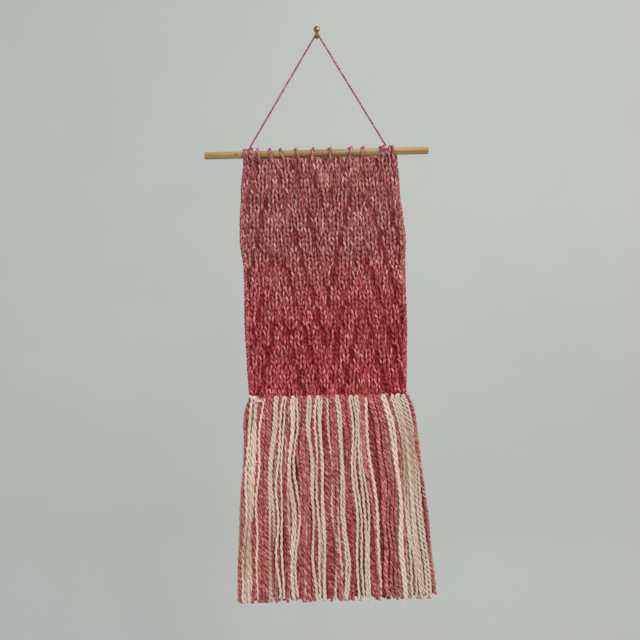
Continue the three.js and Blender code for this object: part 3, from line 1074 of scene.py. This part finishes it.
def painted_shade_sheet(knit, material):
    """A thin closed sheet of painted shade in the middle of the knit, which follows its ribs."""
    columns = SHADE_SHEET_COLUMNS
    rows = SHADE_SHEET_ROWS
    height = PANEL_BOTTOM - PANEL_TOP - 2 * SHADE_SHEET_MARGIN
    mesh = bmesh.new()
    grids = []
    for face in (-1, 1):
        grid = []
        for row in range(rows + 1):
            drop = PANEL_TOP + SHADE_SHEET_MARGIN + height * row / rows
            left, right = edges_at(drop)
            width = right - left - 2 * SHADE_SHEET_INSET
            for column in range(columns + 1):
                x = left + SHADE_SHEET_INSET + width * column / columns
                y = CLOTH_Y + groove_at(x, drop, knit.groove_depth / MM) + face * SHADE_SHEET_HALF
                grid.append(mesh.verts.new((x * MM, y * MM, cloth_z(x, drop) * MM)))
        grids.append(grid)
    across = columns + 1
    for grid in grids:
        for row in range(rows):
            for column in range(columns):
                k = row * across + column
                mesh.faces.new((grid[k], grid[k + across], grid[k + across + 1], grid[k + 1]))
    front, back = grids
    rim = list(range(columns))
    rim += [row * across + columns for row in range(rows)]
    rim += [rows * across + column for column in range(columns, 0, -1)]
    rim += [row * across for row in range(rows, 0, -1)]
    for here, there in zip(rim, rim[1:] + rim[:1]):
        mesh.faces.new((front[here], front[there], back[there], back[here]))
    return mesh_piece("knit_painted_shade", mesh, material)


class HANGING_OT_knit(bpy.types.Operator):
    """Knit the panel's rows of stitches, its edges and the shade between the stitches"""

    bl_idname = "hanging.knit"
    bl_label = "Knitted Panel"

    def execute(self, context):
        knit = context.scene.hanging_knit
        material = rose_yarn(context, in_cloth=True)
        draw = random.Random(KNIT_SEED)
        courses = []
        for row in range(knit.rows):
            courses.append({"points": course_points(row, knit, draw), "tone": draw.random()})
        sizes = {"radius": knit.yarn_radius, **KNIT_TWIST}
        third = math.ceil(knit.rows / 3)
        starts = {"lower": 0, "middle": third, "upper": 2 * third}
        pieces = [
            yarn_piece(f"knit_rows_{name}", courses[start:start + third], material, **sizes)
            for name, start in starts.items()
        ]
        ropes = []
        for name, path in cloth_edges().items():
            sideways = (1.0, 0.0) if name in ("left", "right") else (0.0, 1.0)
            ropes += twisted_pair(path, sideways, SELVEDGE_TURN, SELVEDGE_REACH, SELVEDGE_SCALE)
        pieces.append(yarn_piece("knit_edges", ropes, material, **sizes))
        shade_sheet = painted_shade_sheet(knit, painted_shade_material(knit))
        for piece in (shade_sheet, *pieces):
            finish_piece(piece, "rose_yarn", "knit_panel")
        pieces += [piece for piece in context.scene.objects if piece.name.startswith("fringe_")]
        return {"FINISHED"}


# Fringe

def fringe_wave(wave, share, down):
    """A wave over the whole fringe, at a share of its width and of a strand's length."""
    across, along, start = wave
    return math.sin(across * share + along * down + start)


def strand_points(top_x, end_x, share, y, end_z, steps, fringe, waves, drift):
    """One strand, from just under the panel's edge to its cut end. Drift takes it across its neighbours."""
    top_z = cloth_z(top_x, PANEL_BOTTOM) - ROOT_DROP
    aside, behind, middle = drift
    sway = fringe.sway / MM
    clumping = fringe.clumping / MM
    points = []
    for step in range(steps + 1):
        down = step / steps
        loose = 1 - math.exp(-ROOT_FREE * down)
        crossing = math.exp(-(((down - middle) / DRIFT_WIDTH) ** 2))
        own = sum(size * math.sin(turns * down + start) for size, turns, start in waves)
        x = top_x + (end_x - top_x) * down**FLARE
        x += sway * math.sin(math.pi * down) * fringe_wave(SWAY_WAVE, share, down)
        x += clumping * down * math.sin(math.pi * share) * fringe_wave(CLUMP_WAVE, share, down)
        x += loose * (aside * crossing + own)
        depth = y + loose * (behind * crossing + DEPTH_SWAY * fringe_wave(DEPTH_WAVE, share, down))
        points.append((x, depth, top_z + (end_z - top_z) * down))
    return points


def root_points(top, y):
    """The top of a strand that goes back into the panel's edge."""
    x, _, z = top
    back = CLOTH_Y + ROOT_BEHIND - y
    return [(x, y + back * (1 - math.cos(a)), z + ROOT_RISE * math.sin(a)) for a in ROOT_ANGLES]


def arch_points(first, second):
    """The loop over the panel's edge between two strands of one piece of yarn."""
    middle = (first[0] + second[0]) / 2
    half = (second[0] - first[0]) / 2
    base = (first[2] + second[2]) / 2
    angles = [math.pi * k / ARCH_STEPS for k in range(1, ARCH_STEPS)]
    return [
        (middle - half * math.cos(a), first[1] - ARCH_FRONT * math.sin(a), base + ARCH_RISE * math.sin(a))
        for a in angles
    ]


def draw_waves(sizes, turns, looseness, draw):
    """Two waves along a strand: size in millimetres, turn in radians over its length, and start."""
    waves = []
    for _ in range(2):
        size = draw.uniform(looseness * sizes[0], looseness * sizes[1])
        waves.append((size, draw.uniform(*turns), draw.uniform(0, math.tau)))
    return waves


def fringe_row(fringe, chart, y, tops, ends, looseness, steps, draw):
    """Strands of one row by colour. Neighbours of one colour sway together, and two are one looped yarn."""
    hung = []
    before = ""
    for k, colour in enumerate(chart):
        share = k / (len(chart) - 1)
        free = looseness * math.sin(math.pi * share)
        if colour != before:
            shared = draw_waves(SHARED_SIZES, SLOW_TURNS, looseness, draw)
            aside = free * draw.gauss(0, DRIFT_ASIDE)
            behind = looseness * draw.uniform(*DRIFT_DEPTHS)
            drift = (aside, behind, draw.uniform(*DRIFT_MIDDLES))
            before = colour
        top_x = tops[0] + (tops[1] - tops[0]) * share + draw.uniform(-ROOT_SCATTER, ROOT_SCATTER)
        end_x = ends[0] + (ends[1] - ends[0]) * share + free * draw.uniform(-END_SCATTER, END_SCATTER)
        end_z = axis_z(end_x) - fringe.tip_drop / MM + fringe.tip_scatter / MM * draw.uniform(-1, 1)
        waves = shared + draw_waves(OWN_SIZES, SLOW_TURNS, looseness, draw)
        waves += draw_waves(KINK_SIZES, KINK_TURNS, looseness, draw)
        depth = y + draw.uniform(-DEPTH_SCATTER, DEPTH_SCATTER)
        points = strand_points(top_x, end_x, share, depth, end_z, steps, fringe, waves, drift)
        hung.append((colour, points))
    strands = {"C": [], "R": []}
    while hung:
        colour, line = hung.pop(0)
        if hung and hung[0][0] == colour:
            after = hung.pop(0)[1]
            line = line[::-1] + arch_points(line[0], after[0]) + after
        else:
            line = root_points(line[0], y) + line
        thickness = [draw.uniform(*STRAND_SIZES)] * len(line)
        strands[colour].append({"points": line, "tone": draw.random(), "thickness": thickness})
    return strands


class HANGING_OT_fringe(bpy.types.Operator):
    """Hang the cream and rose strands of the fringe from the panel's bottom edge"""

    bl_idname = "hanging.fringe"
    bl_label = "Fringe"

    def execute(self, context):
        fringe = context.scene.hanging_fringe
        draw = random.Random(FRINGE_SEED)
        cream = cream_material(fringe)
        rose_colours = ((fringe.rose,), (fringe.rose_light,), (fringe.rose_dark,))
        rose = marled_material("Rose strands", *rose_colours, FRINGE_FACE, ROSE_SHADE, ROSE_PALE)
        yarns = {
            "C": ("cream_yarn", cream, fringe.cream_radius, CREAM_TWIST),
            "R": ("rose_yarn", rose, fringe.rose_radius, ROSE_TWIST),
        }
        for row, (chart, y, tops, ends, thickness, looseness, sides, steps) in FRINGE_ROWS.items():
            strands = fringe_row(fringe, chart, y, tops, ends, looseness, steps, draw)
            if row == "front":
                strands["C"].append({"points": smooth_path(CORNER_KNOT, CORNER_STEP), "tone": CORNER_TONE})
            for colour, (slot, material, radius, twist) in yarns.items():
                sizes = {"radius": thickness * radius, "sides": sides, **twist}
                sizes["turn_length"] = thickness * twist["turn_length"]
                piece = yarn_piece(f"fringe_{row}_{slot}", strands[colour], material, **sizes)
                finish_piece(piece, slot, "fringe")
        return {"FINISHED"}


# Cord, ties and lashing

class HANGING_OT_cord(bpy.types.Operator):
    """Hang the twisted cord over the hook"""

    bl_idname = "hanging.cord"
    bl_label = "Hanging Cord"

    def execute(self, context):
        cord = context.scene.hanging_cord
        line = smooth_path(np.asarray(CORD_ROUTE) / MM, CORD_STEP)
        strand = {"points": line, "tone": CORD_TONE}
        mauve = marled_material("Mauve cord", (cord.mauve,), (cord.mauve_light,), (cord.mauve_dark,))
        piece = yarn_piece("cord_yarn", [strand], mauve, radius=cord.cord_radius, **CORD_TWIST)
        finish_piece(piece, "rose_yarn", "hanging_cord")
        return {"FINISHED"}


def lashing_route(loops):
    """Whip stitches over the dowel, through the cloth and up behind it again."""
    reach = LASHING_REACH
    shoulder = 0.72 * reach
    flank = 0.85 * reach
    halfway = -0.62 * LASHING_BITE

    def at(x, y, z):
        return (x, CLOTH_Y + y, axis_z(x) + z)

    points = [at(loops[0][0] - 1.2, reach, -1.0), at(loops[0][0] - 0.6, shoulder, shoulder)]
    for k, (x, lean) in enumerate(loops):
        bite = x + lean
        last = k + 1 == len(loops)
        step = 0.0 if last else loops[k + 1][0] - bite
        points += [
            at(x, 0.0, reach),
            at(x + 0.15 * lean, -shoulder, shoulder),
            at(x + 0.35 * lean, -reach, 0.0),
            at(x + 0.75 * lean, -flank, halfway),
            at(bite, 0.0, -LASHING_BITE),
            at(bite + 0.25 * step, flank, halfway),
        ]
        if not last:
            points += [at(bite + 0.65 * step, reach, 0.0), at(bite + 0.85 * step, shoulder, shoulder)]
    return points


def dowel_yarn(context, node, route, step, tone, radius):
    """The panel's yarn along a route round the dowel, in place of one node."""
    strand = {"points": smooth_path(route, step), "tone": tone}
    piece = yarn_piece(f"{node}_yarn", [strand], rose_yarn(context), radius=radius, **LASHING_TWIST)
    finish_piece(piece, "rose_yarn", node)


class HANGING_OT_lashing(bpy.types.Operator):
    """Lash the panel's top edge to the dowel"""

    bl_idname = "hanging.lashing"
    bl_label = "Lashing"

    def execute(self, context):
        radius = context.scene.hanging_cord.lashing_radius
        for k, (node, loops) in enumerate(LASHING_RUNS.items()):
            dowel_yarn(context, node, lashing_route(loops), LASHING_STEP, 0.2 + 0.1 * k, radius)
        return {"FINISHED"}


def tie_route(middle, wraps, knot, turn):
    """Wraps round the dowel, then a knot on them and a short loose end."""
    axis = axis_z(middle)
    turns = []
    for k in range(wraps * WRAP_STEPS + 1):
        angle = TIE_START + math.tau * k / WRAP_STEPS
        reach = TIE_REACH
        for size, pace in WRAP_WAVES:
            reach += size * math.sin(pace * k)
        x = middle + TIE_PITCH * (k / WRAP_STEPS - wraps / 2) - TIE_SLANT * math.sin(angle)
        turns.append((x, CLOTH_Y + reach * math.cos(angle), axis + reach * math.sin(angle)))
    lean = math.radians(turn)
    for k in range(KNOT_STEPS + 1):
        t = math.tau * k / KNOT_STEPS
        x = middle + knot * (math.sin(t) + KNOT_LOOP * math.sin(2 * t))
        front = knot * (math.cos(t) - KNOT_LOOP * math.cos(2 * t)) + KNOT_FORWARD
        rise = TIE_REACH + KNOT_UP - KNOT_CROSSING * knot * math.sin(3 * t)
        y = CLOTH_Y - front * math.cos(lean) - rise * math.sin(lean)
        turns.append((x, y, axis - front * math.sin(lean) + rise * math.cos(lean)))
    aside, forward, up = TIE_END
    return turns + [(middle + aside, CLOTH_Y + forward, axis + up)]


class HANGING_OT_ties(bpy.types.Operator):
    """Tie the cord's two ends round the dowel"""

    bl_idname = "hanging.ties"
    bl_label = "Cord Ties"

    def execute(self, context):
        radius = context.scene.hanging_cord.tie_radius
        for node, tie in TIES.items():
            dowel_yarn(context, node, tie_route(*tie), TIE_STEP, TIE_TONE, radius)
        return {"FINISHED"}


# Dowel and hook

class HANGING_OT_dowel(bpy.types.Operator):
    """Turn the wooden dowel"""

    bl_idname = "hanging.dowel"
    bl_label = "Dowel"

    def execute(self, context):
        half = DOWEL_LENGTH / 2
        inner = DOWEL_RADIUS - DOWEL_CHAMFER
        rings = [(DOWEL_CENTRE, -half), (inner, -half), (DOWEL_RADIUS, -half + DOWEL_CHAMFER)]
        rings += [(DOWEL_RADIUS, DOWEL_LENGTH * (k / DOWEL_RINGS - 0.5)) for k in range(1, DOWEL_RINGS)]
        rings += [(DOWEL_RADIUS, half - DOWEL_CHAMFER), (inner, half), (DOWEL_CENTRE, half)]
        place = Matrix.Translation((DOWEL_MIDDLE_X, CLOTH_Y, -DOWEL_DROP))
        form = lathe(rings, DOWEL_SIDES, place @ Matrix.Rotation(DOWEL_TILT, 4, "Y"))
        wood = wood_material(context.scene.hanging_hardware)
        piece = mesh_piece("dowel_wood", form, wood, DOWEL_SHARP)
        finish_piece(piece, "wood", "dowel")
        return {"FINISHED"}


def nail_rings():
    """Rings of the nail, from the middle of its domed head to its point."""
    rings = []
    for angle in np.linspace(HEAD_START, math.pi / 2, HEAD_RINGS):
        rise = HEAD_RIM + (1 - HEAD_RIM) * math.cos(angle)
        rings.append((HEAD_RADIUS * math.sin(angle), NAIL_SEAT - HEAD_THICKNESS * rise))
    rings += [(HEAD_RADIUS, NAIL_SEAT), (NAIL_RADIUS, NAIL_SEAT)]
    return rings + [(NAIL_RADIUS, NAIL_LENGTH - 3 * NAIL_RADIUS), (NAIL_POINT, NAIL_LENGTH)]


def strip_line():
    """Middle line of the bent strip, from its upper end to the tongue's: y, z and half the width."""
    half = HOOK_WIDTH / 2
    reach = (HOOK_THROAT + HOOK_THICKNESS) / 2
    middle = -HOOK_THROAT / 2 - HOOK_THICKNESS
    angles = np.linspace(ROUNDING_START, math.pi / 2, ROUNDING_STEPS)
    rounding = [(half * (math.cos(a) - 1), half * math.sin(a)) for a in angles]
    back = [(middle + reach, HOOK_TOP + fall, wide) for fall, wide in rounding]
    tongue = [(middle - reach, -TONGUE_DROP + fall, wide) for fall, wide in reversed(rounding)]
    turns = np.linspace(0, math.pi, BEND_STEPS)
    bend = [(middle + reach * math.cos(a), -BEND_DROP - reach * math.sin(a), half) for a in turns]
    return back + bend + tongue


def bent_strip():
    """The hook's strip, with its long edges bevelled."""
    mesh = bmesh.new()
    line = strip_line()
    thick = HOOK_THICKNESS / 2
    edge = thick - HOOK_BEVEL
    loops = []
    for k, (y, z, wide) in enumerate(line):
        before = line[max(k - 1, 0)]
        after = line[min(k + 1, len(line) - 1)]
        run = math.hypot(after[0] - before[0], after[1] - before[1])
        out = ((before[1] - after[1]) / run, (after[0] - before[0]) / run)
        inner = wide - HOOK_BEVEL
        section = [(wide, edge), (inner, thick), (-inner, thick), (-wide, edge)]
        section += [(-x, -deep) for x, deep in section]
        spots = [(x * MM, (y + deep * out[0]) * MM, (z + deep * out[1]) * MM) for x, deep in section]
        loops.append([mesh.verts.new(spot) for spot in spots])
    add_loops(mesh, loops)
    return mesh


def bore(piece, cutter):
    """Cuts one object out of another."""
    modifier = piece.modifiers.new("Hole", "BOOLEAN")
    modifier.object = cutter
    mesh = evaluated_mesh(piece)
    piece.modifiers.clear()
    piece.data = mesh
    bpy.data.objects.remove(cutter)


class HANGING_OT_hook(bpy.types.Operator):
    """Form the brass picture hook: its bent strip and its nail"""

    bl_idname = "hanging.hook"
    bl_label = "Wall Hook"

    def execute(self, context):
        brass = brass_material(context.scene.hanging_hardware)
        to_back = Matrix.Rotation(math.pi / 2, 4, "Z")
        drill = [(HOLE_RADIUS, -2 * HOOK_THICKNESS), (HOLE_RADIUS, HOOK_THICKNESS)]
        strip = mesh_piece("hook_strip", bent_strip(), brass, HOOK_SHARP)
        bore(strip, mesh_piece("hook_drill", lathe(drill, HOLE_SIDES, to_back), brass))
        nail = mesh_piece("hook_nail_brass", lathe(nail_rings(), NAIL_SIDES, to_back), brass, NAIL_SHARP)
        finish_piece(strip, "brass", "wall_hook")
        finish_piece(nail, "brass", "hook_nail")
        return {"FINISHED"}


# Stage

def make_backdrop(stage, middle_z):
    """A pale floor that turns up into a backdrop."""
    material, graph, shader = new_material("Backdrop", Roughness=0.95, Specular_IOR_Level=0.1)
    mottle = graph.noise(graph.place(), BACKDROP_SCALE)
    colour = graph.ramp(mottle, ((0.3, opaque(stage.backdrop, 0.97)), (0.7, opaque(stage.backdrop))))
    graph.feed(shader.inputs["Base Color"], colour)
    floor_z = middle_z - FLOOR_DROP
    profile = [(FLOOR_FRONT, floor_z)]
    for step in range(COVE_STEPS + 1):
        angle = math.pi / 2 * step / COVE_STEPS
        y = BACK_Y - COVE_RADIUS + COVE_RADIUS * math.sin(angle)
        profile.append((y, floor_z + COVE_RADIUS * (1 - math.cos(angle))))
    profile.append((BACK_Y, floor_z + BACK_HEIGHT))
    mesh = bmesh.new()
    sides = (-STAGE_HALF_WIDTH, STAGE_HALF_WIDTH)
    lines = [[mesh.verts.new((x, y, z)) for y, z in profile] for x in sides]
    for k in range(len(profile) - 1):
        mesh.faces.new((lines[0][k], lines[1][k], lines[1][k + 1], lines[0][k + 1]))
    mesh_piece("backdrop", mesh, material)


def make_lights(scene, middle_z):
    """Soft light from all round, and two wide lamps in front."""
    world = bpy.data.worlds.new("Soft light")
    scene.world = world
    world.use_nodes = True
    background = world.node_tree.nodes["Background"]
    background.inputs["Color"].default_value = SKY_COLOUR
    background.inputs["Strength"].default_value = SKY_STRENGTH
    for name, (spot, size, power, tint) in LAMPS.items():
        data = bpy.data.lights.new(name, "AREA")
        data.size = size
        data.energy = power
        data.color = tint
        lamp = add_object(name, data)
        lamp.location = (spot[0], spot[1], middle_z + spot[2])
        aim = Vector((0.0, LAMP_AIM_Y, middle_z)) - lamp.location
        lamp.rotation_euler = aim.to_track_quat("-Z", "Y").to_euler()


def make_camera(scene, stage):
    data = bpy.data.cameras.new("camera")
    data.lens = stage.lens
    data.sensor_width = SENSOR_WIDTH
    camera = add_object("camera", data)
    camera.location = (stage.camera_x, -stage.camera_distance, stage.camera_z)
    camera.rotation_euler = (math.pi / 2, stage.camera_roll, 0.0)
    scene.camera = camera


class HANGING_OT_stage(bpy.types.Operator):
    """Set the pale floor and backdrop, the soft lights and the camera"""

    bl_idname = "hanging.stage"
    bl_label = "Stage"

    def execute(self, context):
        stage = context.scene.hanging_stage
        middle_z = (CAD_BOX[0].z + CAD_BOX[1].z) / 2
        context.scene.view_settings.view_transform = "Standard"
        make_backdrop(stage, middle_z)
        make_lights(context.scene, middle_z)
        make_camera(context.scene, stage)
        return {"FINISHED"}


OPERATORS = (
    HANGING_OT_stage,
    HANGING_OT_cord,
    HANGING_OT_ties,
    HANGING_OT_lashing,
    HANGING_OT_dowel,
    HANGING_OT_hook,
    HANGING_OT_fringe,
    HANGING_OT_knit,
)


class HANGING_PT_sidebar(bpy.types.Panel):
    """Lists the hanging's pieces and their settings"""

    bl_idname = "HANGING_PT_sidebar"
    bl_label = "Knitted Wall Hanging"
    bl_space_type = "VIEW_3D"
    bl_region_type = "UI"
    bl_category = "Hanging"

    def draw(self, context):
        for operator in OPERATORS:
            self.layout.operator(operator.bl_idname)
        for name, group in SETTINGS.items():
            box = self.layout.box()
            for setting in group.__annotations__:
                box.prop(getattr(context.scene, name), setting)


CLASSES = (*SETTINGS.values(), *OPERATORS, HANGING_PT_sidebar)


def register():
    for cls in CLASSES:
        bpy.utils.register_class(cls)
    for name, group in SETTINGS.items():
        setattr(bpy.types.Scene, name, PointerProperty(type=group))


def unregister():
    for name in SETTINGS:
        delattr(bpy.types.Scene, name)
    for cls in reversed(CLASSES):
        bpy.utils.unregister_class(cls)


def main():
    register()
    bpy.ops.hanging.stage()
    bpy.ops.hanging.cord()
    bpy.ops.hanging.ties()
    bpy.ops.hanging.lashing()
    bpy.ops.hanging.dowel()
    bpy.ops.hanging.hook()
    bpy.ops.hanging.fringe()
    bpy.ops.hanging.knit()
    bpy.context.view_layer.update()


if __name__ == "__main__":
    main()
